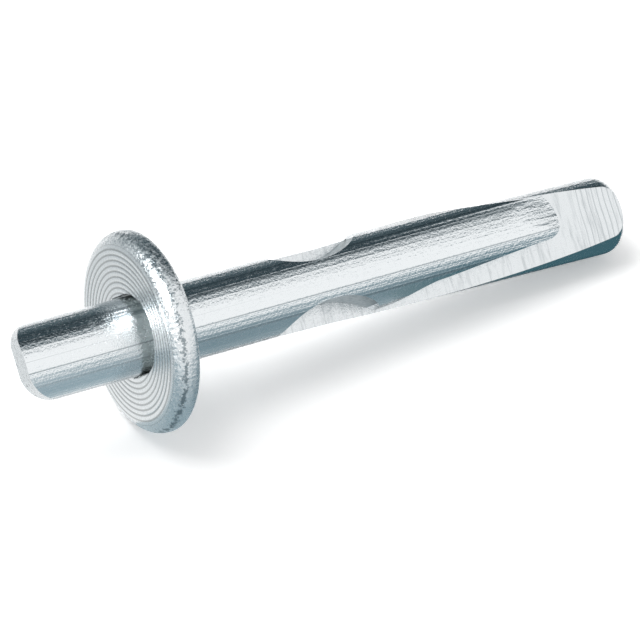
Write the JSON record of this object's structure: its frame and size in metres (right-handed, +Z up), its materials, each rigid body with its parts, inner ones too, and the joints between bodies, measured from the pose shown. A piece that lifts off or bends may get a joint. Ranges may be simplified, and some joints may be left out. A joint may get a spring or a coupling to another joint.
{
  "type": "ceiling anchor",
  "caption": "Hammer-set ceiling anchor of zinc-plated steel: a body with a round head, a flat and a ramp, and a drive pin that spreads it.",
  "frame": {"origin": "bottom centre of the anchor's bounding box, as it lies on the rim of its head and on its tip", "axes": "+X runs level along the anchor, from the stub of the pin to the tip, +Z is up, and -Y is the side that the body's flat leans towards"},
  "size_m": [0.0516, 0.0152, 0.0152],
  "materials": {
    "plated_body": "bright zinc plate over a turned head and a machined flat, satin",
    "plated_pin": "bright zinc plate over drawn wire, glossy with lengthwise lines"
  },
  "bodies": {
    "body": {"anchor_body": "plated_body"},
    "pin": {"drive_pin": "plated_pin"}
  },
  "joints": [
    {"name": "pin_drive", "type": "slide", "parent": "body", "child": "pin", "axis": [0.9966, -0.0816, -0.0147], "range_m": [0, 0.0093]}
  ]
}
